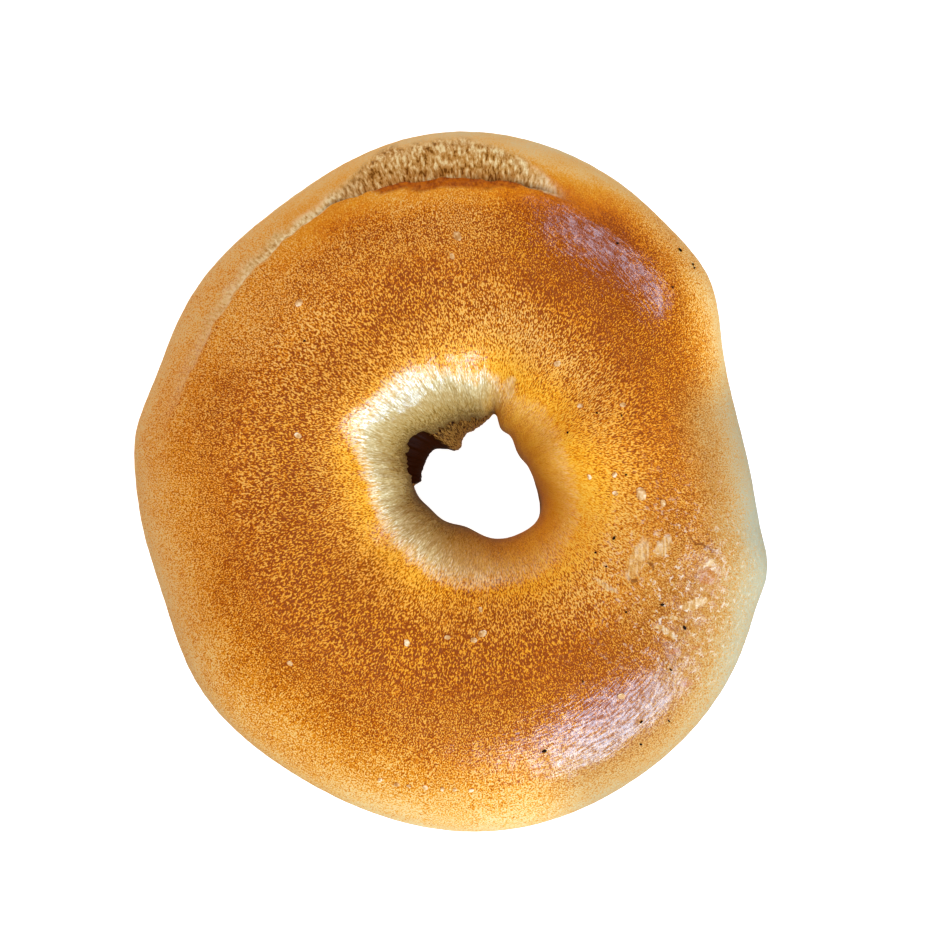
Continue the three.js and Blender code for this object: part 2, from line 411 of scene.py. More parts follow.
def groove_shadow_share():
    """Painted shadow: the dark line where the crumb goes under the rolled edge."""
    there = between(grid.angle, 74, 112, 8)
    line = bell(grid.outside - BURST_EDGE_WIDTH - GROOVE_OFFSET, GROOVE_WIDTH)
    return np.where(grid.turn < CROWN_TURN, there * line, 0)


def funnel_depth():
    """Depth into the pale funnel: 0 at its ragged border in the crust, 1 at the hole's edge."""
    spikes = noise_at(stretched(2.4, 9.0), 4) + 0.4 * noise_at(stretched(1.2, 6.0), 5)
    reach = FUNNEL_REACH + swellings(grid.angle, FUNNEL_WIDENINGS)
    reach = reach + spikes * (FUNNEL_RAGGEDNESS + swelling(grid.angle, *FUNNEL_SPIKES))
    depth = np.clip(1 - grid.reach / reach, 0, 1)
    return np.where((grid.turn > CROWN_TURN) & (grid.turn < HOLE_WALL_TO), depth, 0)


def pale_share():
    """How pale the funnel stayed: fully at its left side, and a little where it fades into gold."""
    angle = grid.angle + 6 * noise_at(stretched(2.0, 5.0), 5)
    browned = 1 - FUNNEL_LEAST_PALE
    near_end = FUNNEL_LEAST_PALE + browned * smooth_step(angle, 58, 90)
    return near_end * (1 - browned * smooth_step(angle, 215, 325))


def shade_share():
    """Painted shade: the skin is darkened down at the hole's edge, where the hole's shadow falls."""
    strength = 0.4 + 0.5 * between(grid.angle, 195, 340, 40) - 0.3 * between(grid.angle, 136, 166, 6)
    return between(grid.turn, 178, 245, 13) * strength


def torn_share():
    """The torn back of the hole, from 0.5 on the brown ledge to 1 in the hollow, which is painted nearly
    black as its shadow.
    """
    there = grid.spoke.lap * between(grid.turn, 187, 240, 3)
    hollow = 0.5 + 0.5 * np.maximum(smooth_step(grid.angle, 136, 150), 0.8 * bell(grid.turn - 185, 2.5))
    return there * hollow


def joint_share():
    """The rough skin where the rope's ends were pressed together."""
    away = np.hypot((grid.x - JOINT_X) / JOINT_HALF_WIDTH, (grid.y - JOINT_Y) / JOINT_HALF_LENGTH)
    return bell(away, 0.75) * (grid.turn < 150)


def dull_share():
    """Skin with little gloss: the rough joint, and the slope of the hole that faces the upper window."""
    slope = bell(np.hypot(grid.x + 3.5, grid.y + 14), 6) * (grid.turn > CROWN_TURN)
    return np.clip(0.85 * joint + slope, 0, 1)


def dusty_share():
    """Paler, duller skin over the rope's thick end, round its joint and down to the floor."""
    share = grid.inset / grid.spoke.length
    side = between(turn_between(grid.angle, 0), -64, 12, 14) * (1 - smooth_step(share, 0.16, 0.36))
    return np.clip(side + 0.8 * joint, 0, 1)


crumb = crumb_share()
funnel = funnel_depth()
pale = pale_share()
joint = joint_share()

# Relief finer than the part's, each in millimetres along the skin's normal.
FIBRE_HEIGHT, FIBRE_PITCH, FIBRE_LENGTH = 0.3, 0.3, 2.4
PIT_DEPTH, PIT_SIZE = 0.7, 0.9
PIT_BAND, PIT_BAND_WIDTH = 2.2, 1.3  # how far outside the burst edge the pits lie
GROOVE_DEPTH = 0.5  # under the crust's rolled edge
SEAM_LUMP_HEIGHT, SEAM_LUMP_SIZE, SEAM_RISE = 0.3, 1.6, 0.15  # along the narrow seams
PUCKER_HEIGHT, PUCKER_PITCH, PUCKER_LENGTH = 0.10, 1.9, 2.3
WRINKLE_HEIGHT, WRINKLE_PITCH, WRINKLE_LENGTH = 0.06, 0.7, 1.0
JOINT_HEIGHT, JOINT_SIZE = 0.15, 1.2
BLISTER_HEIGHT, BLISTER_SIZE = 0.06, 1.8


def crumb_relief():
    strands = 1 - 2 * np.abs(noise_at(stretched(FIBRE_PITCH, FIBRE_LENGTH), 1))
    pits = smooth_step(noise_at(stretched(PIT_SIZE * 0.6, PIT_SIZE), 2), 0.2, 0.5)
    pits = pits * bell(grid.outside - PIT_BAND, PIT_BAND_WIDTH)
    groove = GROOVE_DEPTH * bell(grid.outside - BURST_EDGE_WIDTH - 0.4, 0.4)
    lumps = SEAM_LUMP_HEIGHT * noise_at(grid.points / SEAM_LUMP_SIZE, 9)
    fibrous = stretched_share()
    pulled = FIBRE_HEIGHT * (strands - 0.5) - PIT_DEPTH * pits - groove
    return crumb * (fibrous * pulled + (1 - fibrous) * (lumps + SEAM_RISE))


def funnel_relief():
    folds = PUCKER_HEIGHT * noise_at(stretched(PUCKER_PITCH, PUCKER_LENGTH), 3)
    wrinkles = WRINKLE_HEIGHT * noise_at(stretched(WRINKLE_PITCH, WRINKLE_LENGTH), 6)
    return 2 * pale * smooth_step(funnel, 0.02, 0.4) * (1 - smooth_step(funnel, 0.85, 1)) * (folds + wrinkles)


def joint_relief():
    return joint * JOINT_HEIGHT * noise_at(grid.points / JOINT_SIZE, 7)


def carve(piece, relief):
    """Moves the skin along its own normals, in millimetres. The flat base stays flat."""
    normals = np.zeros(len(piece.data.vertices) * 3, np.float32)
    piece.data.vertices.foreach_get("normal", normals)
    above_base = smooth_step(grid.height, 0.0, 1.5)
    put_places(piece, places_of(piece) + normals.reshape(-1, 3) * at_vertices(relief * above_base * MM))


def raise_blisters(piece, share):
    """Low blisters of the boiled skin, by a displacement limited to a vertex group."""
    group = piece.vertex_groups.new(name="blistered")
    levels = np.round(at_vertices(share)[:, 0], 1)
    for level in np.unique(levels[levels > 0]):
        group.add(np.flatnonzero(levels == level).tolist(), float(level), "REPLACE")
    texture = bpy.data.textures.new("crust_blisters", "CLOUDS")
    texture.noise_scale = BLISTER_SIZE * MM
    texture.noise_depth = 1
    modifier = piece.modifiers.new("crust_blisters", "DISPLACE")
    modifier.texture = texture
    modifier.texture_coords = "LOCAL"
    modifier.strength = BLISTER_HEIGHT * 2 * MM
    modifier.vertex_group = "blistered"
    bpy.context.view_layer.objects.active = piece
    bpy.ops.object.modifier_apply(modifier="crust_blisters")


bagel, order = make_ring()
carve(bagel, crumb_relief() + funnel_relief() + joint_relief())
browned_skin = (1 - crumb) * (1 - pale * smooth_step(funnel, 0.02, 0.2))
raise_blisters(bagel, browned_skin * smooth_step(grid.height, 1, 6))
bpy.ops.object.shade_smooth()


# How far the oven has browned each part of the skin: 0 is pale dough and 1 the deepest brown.
# It is given at these shares of the way from the outline to the hole.
ACROSS = [0.0, 0.08, 0.14, 0.22, 0.32, 0.42, 0.52, 0.62, 0.72, 0.80, 0.90, 1.0]
BROWNING_LEFT = [0.20, 0.36, 0.45, 0.63, 0.84, 0.90, 0.95, 0.98, 0.76, 0.42, 0.34, 0.50]
BROWNING_RIGHT = [0.08, 0.26, 0.50, 0.70, 0.88, 0.90, 0.82, 0.68, 0.54, 0.40, 0.40, 0.50]
RIGHT_FROM, RIGHT_TO, RIGHT_FADE = -35, 62, 40  # angles where the rope stayed golden beside the hole
BROWNING_AND_SHEEN_PATCHES = [  # x, y, change, spread
    (27, 0, -0.20, 6),
    (20, 33, 0.20, 8),
    # These two paler patches are a painted sheen on the inner slope of the left crown.
    (-26, 20, -0.24, 7),
    (-17, 29, -0.10, 6),
    (-30, -2, -0.10, 7),
    (5, 25, -0.12, 6),
    (13, -44, -0.04, 6),
    (27, -36, 0.34, 8),
    (25, 36, 0.20, 7),
    (41, 20, 0.12, 8),
    (34, 36, 0.12, 8),
    (-26, -46, 0.10, 8),
    (31, -14, -0.16, 7),
    (36, -22, -0.08, 7),
    (0, 44, -0.24, 7),
    (5, -14, 0.20, 5),
    (48, -8, -0.22, 6),
]
GRAIN_ACROSS = [0, 0.12, 0.24, 0.40, 0.72, 0.85, 1]
GRAIN_STRENGTHS = [0.42, 0.44, 0.52, 0.95, 1, 0.6, 0.4]
SMOOTHER_PATCHES = [(21, 1, -0.45, 9), (32, -15, -0.4, 7)]  # x, y, change, spread
SIDE_BROWNING = 0.2
BASE_BROWNING = 0.75


def browning():
    share = grid.inset / grid.spoke.length
    right = between(turn_between(grid.angle, 0), RIGHT_FROM, RIGHT_TO, RIGHT_FADE)
    left_side, right_side = np.interp(share, ACROSS, BROWNING_LEFT), np.interp(share, ACROSS, BROWNING_RIGHT)
    top = left_side * (1 - right) + right_side * right
    for px, py, change, spread in BROWNING_AND_SHEEN_PATCHES:
        top = top + change * bell(np.hypot(grid.x - px, grid.y - py), spread)
    below = SIDE_BROWNING + (BASE_BROWNING - SIDE_BROWNING) * (1 - smooth_step(grid.height, 0.5, 7))
    return np.where(grid.turn < HOLE_TURN, top, below + (top - below) * smooth_step(grid.height, 9, 16))


def grain_strength():
    """How strongly the crust's grain shows: most on the brown crown, least at the sides."""
    share = grid.inset / grid.spoke.length
    strength = np.interp(share, GRAIN_ACROSS, GRAIN_STRENGTHS)
    for px, py, change, spread in SMOOTHER_PATCHES:
        strength = strength + change * bell(np.hypot(grid.x - px, grid.y - py), spread)
    return strength * (1 - 0.7 * smooth_step(grid.outside, -7, 0) * between(grid.angle, 64, 118, 18))


def golden_share():
    """Where the crust is a clear gold between the pale funnel and the brown crown."""
    near_hole = smooth_step(grid.inset / grid.spoke.length, 0.62, 0.84)
    return np.clip(near_hole + 0.8 * bell(np.hypot(grid.x - 24, grid.y), 9), 0, 1)


skin_parts = {
    "browning": browning(),
    "grain": grain_strength(),
    "outer": smooth_step(np.hypot(grid.x, grid.y), 27, 38),
    "golden": golden_share(),
    "fibrous": stretched_share(),
    "crumb": crumb,
    "edge": edge_share(),
    "groove": groove_shadow_share(),
    "funnel": funnel,
    "pale": pale,
    "dusty": dusty_share(),
    "shade": shade_share(),
    "joint": joint,
    "dull": dull_share(),
    "torn": torn_share(),
    "under": 1 - smooth_step(grid.height, 0.1, 0.6),
}
add_attribute(bagel, "rope_map", grid.rope * MM)
for name, share in skin_parts.items():
    add_attribute(bagel, name, share)


def linear(hex_colour):
    """An sRGB hex colour as the linear numbers that shaders take."""
    parts = [int(hex_colour[i : i + 2], 16) / 255 for i in (1, 3, 5)]
    return tuple(p / 12.92 if p <= 0.04045 else ((p + 0.055) / 1.055) ** 2.4 for p in parts) + (1.0,)


def add_node(tree, kind, inputs=None, stops=(), **settings):
    """Adds a node. Each input is a value or the output that feeds it, and stops are a ramp's colours."""
    node = tree.nodes.new(kind)
    for name, value in settings.items():
        setattr(node, name, value)
    for name, value in (inputs or {}).items():
        if isinstance(value, bpy.types.NodeSocket):
            tree.links.new(value, node.inputs[name])
        else:
            node.inputs[name].default_value = value
    for place, (position, colour) in enumerate(stops):
        ramp = node.color_ramp.elements
        element = ramp[place] if place < len(ramp) else ramp.new(position)
        element.position = position
        element.color = linear(colour)
    return node


def new_material(name):
    material = bpy.data.materials.new(name)
    material.use_nodes = True
    material.node_tree.nodes.clear()
    return material, material.node_tree


# Colours of the skin, each from its palest part to its brownest.
GOLDEN_CRUST = [
    (0.0, "#F4C458"),
    (0.22, "#F0A82A"),
    (0.45, "#E68E0A"),
    (0.65, "#CE6E00"),
    (0.85, "#B45A00"),
    (1.0, "#8C4000"),
]
TAN_CRUST = [
    (0.0, "#D8C092"),
    (0.22, "#E4B268"),
    (0.45, "#E0921E"),
    (0.65, "#D07204"),
    (0.85, "#B65800"),
    (1.0, "#8A3A00"),
]
DUSTY_CRUST = [(0.0, "#968E74"), (0.25, "#AC8858"), (0.6, "#B47834"), (1.0, "#8C4E0C")]
# The funnel's pale skin: its dark end is painted shade towards the hole's edge, and its near-white end is
# partly a painted highlight.
PALE_SKIN_AND_PAINTED_LIGHT = [(0.0, "#FFF0CC"), (0.3, "#CEAE78"), (0.6, "#B08C54"), (0.88, "#A47A3A"), (1.0, "#7A541C")]
SCAR_SKIN = [(0.36, "#BC8644"), (0.46, "#D4A464"), (0.62, "#E8C898")]
FIBROUS_CRUMB = [(0.59, "#7A480E"), (0.66, "#B47A34"), (0.78, "#CE9C5A"), (0.92, "#F0D49C")]
SEAM_CRUMB = [(0.52, "#B07C3C"), (0.66, "#D6B074"), (0.84, "#F0DCB0")]
BURST_FRONT = [(0.35, "#8A3C00"), (0.5, "#A85000"), (0.68, "#C06400")]
# Torn back of the hole: brown on the ledge, and its darkest stops a painted shadow in the hollow.
TORN_LEDGE_AND_HOLLOW_SHADOW = [(0.8, "#D09448"), (1.0, "#A87028"), (1.2, "#6A3408"), (1.4, "#3A1400")]
# Light flecks, partly painted glints, go no paler than this share of the browning round them.
PALEST_FLECK = 0.46  # of the browning round it
SKIN_WRINKLE, GLAZE_WRINKLE = 0.05, 0.02  # mm high

# Marks of the rope's joint: x, y, turn, half length and half width.
PALE_SCARS = [
    (9.7, 14.0, 80, 1.6, 0.7),
    (29.1, -12.2, 64, 3.4, 1.3),
    (32.9, -10.3, 60, 1.7, 1.1),
    (24.2, -16.3, -33, 2.1, 0.4),
    (34.4, -21.2, -8, 1.5, 0.3),
    (33.3, -23.2, -35, 1.8, 0.5),
    (37.8, -19.1, 20, 2.0, 0.8),
    (39.9, -12.9, 15, 1.2, 0.4),
]
ORANGE_SCARS = [
    (39.7, -15.0, 0, 1.4, 1.2),
    (34.5, -26.4, 20, 1.3, 0.35),
    (38.1, -25.7, 10, 0.8, 0.3),
    (36.8, -31.2, 0, 0.8, 0.6),
]
# Creases of the joint, painted dark as their shade.
CREASE_SHADOWS = [
    (38.6, -10.1, -26, 2.4, 0.22),
    (31.2, -13.3, -60, 0.9, 0.22),
    (28.6, -15.6, 0, 0.45, 0.3),
]


def scar_share(tree, place, scars):
    """1 inside any of the scars, 0 outside them."""
    nearest = 9.0
    for x, y, turn, half_length, half_width in scars:
        inside = add_node(
            tree,
            "ShaderNodeMapping",
            {
                "Vector": place,
                "Location": (x * MM, y * MM, 0),
                "Rotation": (0, 0, math.radians(turn)),
                "Scale": (half_length * MM, half_width * MM, 1.0),
            },
            vector_type="TEXTURE",
        ).outputs[0]
        distance = add_node(tree, "ShaderNodeVectorMath", {0: inside}, operation="LENGTH").outputs["Value"]
        nearest = add_node(tree, "ShaderNodeMath", {0: distance, 1: nearest}, operation="MINIMUM").outputs[0]
    return add_node(
        tree, "ShaderNodeMapRange", {"Value": nearest, "From Min": 1.15, "From Max": 0.8}
    ).outputs["Result"]


FLECK_SIZE, SPECKLE_SIZE, BLOTCH_SIZE, THREAD_SIZE = 0.21, 0.5, 5, 0.24  # mm
PORE_SIZE, STREAK_WIDTH, SCAR_FIBRE_SIZE, ROUGH_SKIN_SIZE = 0.28, 0.4, 0.4, 0.75


def skin_patterns(tree, rope, outer):
    """The skin's grain as patterns from 0 to 1: dashes that point at the hole, finer far out than near it."""
    near_hole = add_node(
        tree, "ShaderNodeVectorMath", {0: rope, 1: (0.85, 0.85, 0.52)}, operation="MULTIPLY"
    ).outputs[0]
    far_out = add_node(
        tree, "ShaderNodeVectorMath", {0: rope, 1: (1.45, 1.45, 0.8)}, operation="MULTIPLY"
    ).outputs[0]
    along_thread = add_node(
        tree, "ShaderNodeVectorMath", {0: rope, 1: (0.62, 0.62, 0.2)}, operation="MULTIPLY"
    ).outputs[0]
    fleck_near, fleck_far, speckle, blotch, thread = [
        add_node(
            tree,
            "ShaderNodeTexNoise",
            {"Vector": place, "Scale": 1 / (size * MM), "Detail": detail, "Roughness": roughness},
        ).outputs["Fac"]
        for place, size, detail, roughness in (
            (near_hole, FLECK_SIZE, 1.0, 0.6),
            (far_out, FLECK_SIZE, 1.0, 0.6),
            (far_out, SPECKLE_SIZE, 2.0, 0.6),
            (rope, BLOTCH_SIZE, 3.0, 0.6),
            (along_thread, THREAD_SIZE, 1.5, 0.5),
        )
    ]
    fleck = add_node(tree, "ShaderNodeMix", {0: outer, 2: fleck_near, 3: fleck_far}).outputs[0]
    return SimpleNamespace(fleck=fleck, speckle=speckle, blotch=blotch, thread=thread)


def crust_colour(tree, part, pattern):
    """The crust, its browning broken up by flecks and blotches, and dusty at the rope's thick end. The light
    flecks are partly painted glints of the glaze.
    """
    # The flecks' swing to a lighter colour is partly grain and partly painted glints of the glaze.
    fleck_swing = add_node(
        tree, "ShaderNodeMath", {0: pattern.fleck, 1: -5.0, 2: 2.5}, operation="MULTIPLY_ADD"
    ).outputs[0]
    speckle_swing = add_node(
        tree, "ShaderNodeMath", {0: pattern.speckle, 1: -0.7, 2: 0.35}, operation="MULTIPLY_ADD"
    ).outputs[0]
    blotch_swing = add_node(
        tree, "ShaderNodeMath", {0: pattern.blotch, 1: 0.44, 2: -0.22}, operation="MULTIPLY_ADD"
    ).outputs[0]
    swing = add_node(tree, "ShaderNodeMath", {0: fleck_swing, 1: speckle_swing}, operation="ADD").outputs[0]
    baked = add_node(
        tree, "ShaderNodeMath", {0: part["browning"], 1: blotch_swing}, operation="ADD"
    ).outputs[0]
    baked = add_node(
        tree, "ShaderNodeMath", {0: swing, 1: part["grain"], 2: baked}, operation="MULTIPLY_ADD"
    ).outputs[0]
    palest = add_node(
        tree, "ShaderNodeMath", {0: part["browning"], 1: PALEST_FLECK}, operation="MULTIPLY"
    ).outputs[0]
    baked = add_node(tree, "ShaderNodeMath", {0: baked, 1: palest}, operation="MAXIMUM").outputs[0]
    golden, tan, dust = [
        add_node(tree, "ShaderNodeValToRGB", {"Fac": baked}, stops=stops).outputs["Color"]
        for stops in (GOLDEN_CRUST, TAN_CRUST, DUSTY_CRUST)
    ]
    colour = add_node(
        tree, "ShaderNodeMix", {0: part["golden"], 6: tan, 7: golden}, data_type="RGBA"
    ).outputs[2]
    dusty = add_node(tree, "ShaderNodeMath", {0: part["dusty"], 1: 0.78}, operation="MULTIPLY").outputs[0]
    return add_node(tree, "ShaderNodeMix", {0: dusty, 6: colour, 7: dust}, data_type="RGBA").outputs[2]


def funnel_colour(tree, part, pattern, colour):
    """The funnel's pale skin, with a border broken up along its wrinkles. It darkens towards the hole as
    painted shade, and its near-white border is partly a painted highlight. Returns where it lies too.
    """
    mottle = add_node(
        tree, "ShaderNodeMath", {0: pattern.thread, 1: pattern.speckle}, operation="ADD"
    ).outputs[0]
    border = add_node(
        tree, "ShaderNodeMath", {0: mottle, 1: 0.26, 2: part["funnel"]}, operation="MULTIPLY_ADD"
    ).outputs[0]
    in_funnel = add_node(
        tree, "ShaderNodeMapRange", {"Value": border, "From Min": 0.28, "From Max": 0.62}
    ).outputs["Result"]
    past_border = add_node(
        tree, "ShaderNodeMapRange", {"Value": part["funnel"], "From Min": 0.0, "From Max": 0.12}
    ).outputs["Result"]
    for share in (past_border, part["pale"]):
        in_funnel = add_node(
            tree, "ShaderNodeMath", {0: in_funnel, 1: share}, operation="MULTIPLY"
        ).outputs[0]
    pale_tone = add_node(
        tree, "ShaderNodeMath", {0: mottle, 1: -1.0, 2: 1.0}, operation="MULTIPLY_ADD"
    ).outputs[0]
    # Deeper into the funnel the tone runs to the ramp's dark end: painted shade towards the hole.
    pale_tone = add_node(
        tree, "ShaderNodeMath", {0: part["funnel"], 1: pale_tone}, operation="ADD"
    ).outputs[0]
    pale_skin_and_painted_light = add_node(tree, "ShaderNodeValToRGB", {"Fac": pale_tone}, stops=PALE_SKIN_AND_PAINTED_LIGHT).outputs["Color"]
    colour = add_node(
        tree, "ShaderNodeMix", {0: in_funnel, 6: colour, 7: pale_skin_and_painted_light}, data_type="RGBA"
    ).outputs[2]
    # Painted shade: the skin is darkened with a dark brown down at the hole's edge.
    hole_shade = add_node(
        tree, "ShaderNodeMath", {0: part["shade"], 1: 0.85}, operation="MULTIPLY"
    ).outputs[0]
    colour = add_node(
        tree, "ShaderNodeMix", {0: hole_shade, 6: colour, 7: linear("#80500C")}, data_type="RGBA"
    ).outputs[2]
    return colour, in_funnel


def joint_colour(tree, part, place, colour):
    """The rope's joint: pale scars with fibres across them, painted glints, gaps painted dark as shade,
    orange spots, and creases painted dark as shade.
    """
    wander = add_node(
        tree, "ShaderNodeTexNoise", {"Vector": place, "Scale": 1 / (1.0 * MM), "Detail": 2.0}
    ).outputs["Color"]
    wander = add_node(
        tree,
        "ShaderNodeVectorMath",
        {0: wander, 1: (1.4 * MM, 1.4 * MM, 0), 2: (-0.7 * MM, -0.7 * MM, 0)},
        operation="MULTIPLY_ADD",
    ).outputs[0]
    rough_place = add_node(tree, "ShaderNodeVectorMath", {0: place, 1: wander}, operation="ADD").outputs[0]
    across_scar = add_node(
        tree,
        "ShaderNodeMapping",
        {"Vector": place, "Rotation": (0, 0, math.radians(-64)), "Scale": (1.0, 0.22, 0.3)},
    ).outputs[0]
    scar_fibre = add_node(
        tree,
        "ShaderNodeTexNoise",
        {"Vector": across_scar, "Scale": 1 / (SCAR_FIBRE_SIZE * MM), "Detail": 1.0},
    ).outputs["Fac"]
    scar_skin = add_node(tree, "ShaderNodeValToRGB", {"Fac": scar_fibre}, stops=SCAR_SKIN).outputs["Color"]
    rough_skin = add_node(
        tree,
        "ShaderNodeTexNoise",
        {"Vector": rough_place, "Scale": 1 / (ROUGH_SKIN_SIZE * MM), "Detail": 2.5, "Roughness": 0.65},
    ).outputs["Fac"]
    # Glints are painted highlights and gaps painted shade, scattered over the joint's rough skin.
    glint, gap_shade = [
        add_node(
            tree,
            "ShaderNodeMapRange",
            {"Value": rough_skin, "From Min": none, "From Max": full, "To Max": most},
        ).outputs["Result"]
        for none, full, most in ((0.57, 0.68, 0.7), (0.43, 0.34, 0.6))
    ]
    marks = (
        (scar_share(tree, rough_place, PALE_SCARS), 0.5, scar_skin),
        (glint, part["joint"], linear("#EAD2B4")),
        (gap_shade, part["joint"], linear("#96560E")),
        (scar_share(tree, rough_place, ORANGE_SCARS), 0.4, linear("#A84C00")),
        (scar_share(tree, rough_place, CREASE_SHADOWS), 0.8, linear("#7A3A08")),
    )
    for there, strength, mark in marks:
        share = add_node(tree, "ShaderNodeMath", {0: there, 1: strength}, operation="MULTIPLY").outputs[0]
        colour = add_node(tree, "ShaderNodeMix", {0: share, 6: colour, 7: mark}, data_type="RGBA").outputs[2]
    return colour


def crumb_colour(tree, part, pattern, rope, colour):
    """Bare crumb, the hard orange front of the crust over it and a painted shadow line under that front.
    Returns the crumb's pores too.
    """
    crumb_place = add_node(
        tree, "ShaderNodeVectorMath", {0: rope, 1: (0.95, 0.95, 0.24)}, operation="MULTIPLY"
    ).outputs[0]
    pore = add_node(
        tree,
        "ShaderNodeTexNoise",
        {"Vector": crumb_place, "Scale": 1 / (PORE_SIZE * MM), "Detail": 2.0, "Roughness": 0.6},
    ).outputs["Fac"]
    cell = add_node(
        tree, "ShaderNodeMath", {0: pattern.blotch, 1: 0.5, 2: pore}, operation="MULTIPLY_ADD"
    ).outputs[0]
    fibrous_crumb, seam_crumb = [
        add_node(tree, "ShaderNodeValToRGB", {"Fac": cell}, stops=stops).outputs["Color"]
        for stops in (FIBROUS_CRUMB, SEAM_CRUMB)
    ]
    torn_crumb = add_node(
        tree, "ShaderNodeMix", {0: part["fibrous"], 6: seam_crumb, 7: fibrous_crumb}, data_type="RGBA"
    ).outputs[2]
    front = add_node(
        tree, "ShaderNodeValToRGB", {"Fac": pattern.speckle}, stops=BURST_FRONT
    ).outputs["Color"]
    # Painted shadow under the crust's rolled front, in dark brown.
    groove_shadow = add_node(tree, "ShaderNodeMath", {0: part["groove"], 1: 0.75}, operation="MULTIPLY").outputs[0]
    for share, laid in ((part["crumb"], torn_crumb), (part["edge"], front), (groove_shadow, linear("#5A2A04"))):
        colour = add_node(tree, "ShaderNodeMix", {0: share, 6: colour, 7: laid}, data_type="RGBA").outputs[2]
    return colour, pore


def hollow_colour(tree, part, pattern, colour):
    """The hole's torn back: brown on the ledge, and nearly black in the hollow as painted shadow. Returns
    where it lies too.
    """
    in_hollow = add_node(
        tree, "ShaderNodeMapRange", {"Value": part["torn"], "From Min": 0.1, "From Max": 0.45}
    ).outputs["Result"]
    tone = add_node(
        tree, "ShaderNodeMath", {0: pattern.speckle, 1: 0.9, 2: part["torn"]}, operation="MULTIPLY_ADD"
    ).outputs[0]
    hollow = add_node(tree, "ShaderNodeValToRGB", {"Fac": tone}, stops=TORN_LEDGE_AND_HOLLOW_SHADOW).outputs["Color"]
    colour = add_node(
        tree, "ShaderNodeMix", {0: in_hollow, 6: colour, 7: hollow}, data_type="RGBA"
    ).outputs[2]
    return colour, in_hollow


def wrinkle_bumps(tree, part, pattern, in_funnel, pore, streak):
    """Bumps of the skin, and weaker ones of the glaze over it, whose gloss they break into streaks."""
    height = add_node(
        tree, "ShaderNodeMath", {0: pattern.fleck, 1: pattern.speckle}, operation="ADD"
    ).outputs[0]
    height = add_node(tree, "ShaderNodeMix", {0: in_funnel, 2: height, 3: pattern.thread}).outputs[0]
    height = add_node(
        tree, "ShaderNodeMath", {0: part["crumb"], 1: pore, 2: height}, operation="MULTIPLY_ADD"
    ).outputs[0]
    funnel_gain = add_node(
        tree, "ShaderNodeMath", {0: in_funnel, 1: 2.4, 2: 0.6}, operation="MULTIPLY_ADD"
    ).outputs[0]
    glaze_height = add_node(
        tree, "ShaderNodeMath", {0: height, 1: funnel_gain}, operation="MULTIPLY"
    ).outputs[0]
    streaked = add_node(tree, "ShaderNodeMath", {0: part["outer"], 1: 2.5}, operation="MULTIPLY").outputs[0]
    glaze_height = add_node(
        tree, "ShaderNodeMath", {0: streak, 1: streaked, 2: glaze_height}, operation="MULTIPLY_ADD"
    ).outputs[0]
    return [
        add_node(
            tree, "ShaderNodeBump", {"Height": rise, "Strength": 1.0, "Distance": wrinkle * MM}
        ).outputs["Normal"]
        for rise, wrinkle in ((height, SKIN_WRINKLE), (glaze_height, GLAZE_WRINKLE))
    ]


def glaze_share(tree, part, pattern, in_hollow, streak):
    """Strength of the gloss: none on bare and torn dough, little at a slant, and in streaks elsewhere."""
    bare = add_node(tree, "ShaderNodeMath", {0: part["crumb"], 1: in_hollow}, operation="MAXIMUM").outputs[0]
    gloss = add_node(tree, "ShaderNodeMath", {0: 1.0, 1: bare}, operation="SUBTRACT").outputs[0]
    slant = add_node(tree, "ShaderNodeLayerWeight", {"Blend": 0.5}).outputs["Facing"]
    from_in_front = add_node(
        tree,
        "ShaderNodeMapRange",
        {"Value": slant, "From Min": 0.2, "From Max": 0.42, "To Min": 1.0, "To Max": 0.04},
    ).outputs["Result"]
    streaks = add_node(
        tree, "ShaderNodeMath", {0: pattern.speckle, 1: 0.6, 2: streak}, operation="MULTIPLY_ADD"
    ).outputs[0]
    in_streaks = add_node(
        tree,
        "ShaderNodeMapRange",
        {"Value": streaks, "From Min": 0.66, "From Max": 0.94, "To Min": 0.15, "To Max": 1.6},
    ).outputs["Result"]
    not_dull = add_node(tree, "ShaderNodeMath", {0: 1.0, 1: part["dull"]}, operation="SUBTRACT").outputs[0]
    for share in (from_in_front, in_streaks, not_dull):
        gloss = add_node(tree, "ShaderNodeMath", {0: gloss, 1: share}, operation="MULTIPLY").outputs[0]
    return gloss


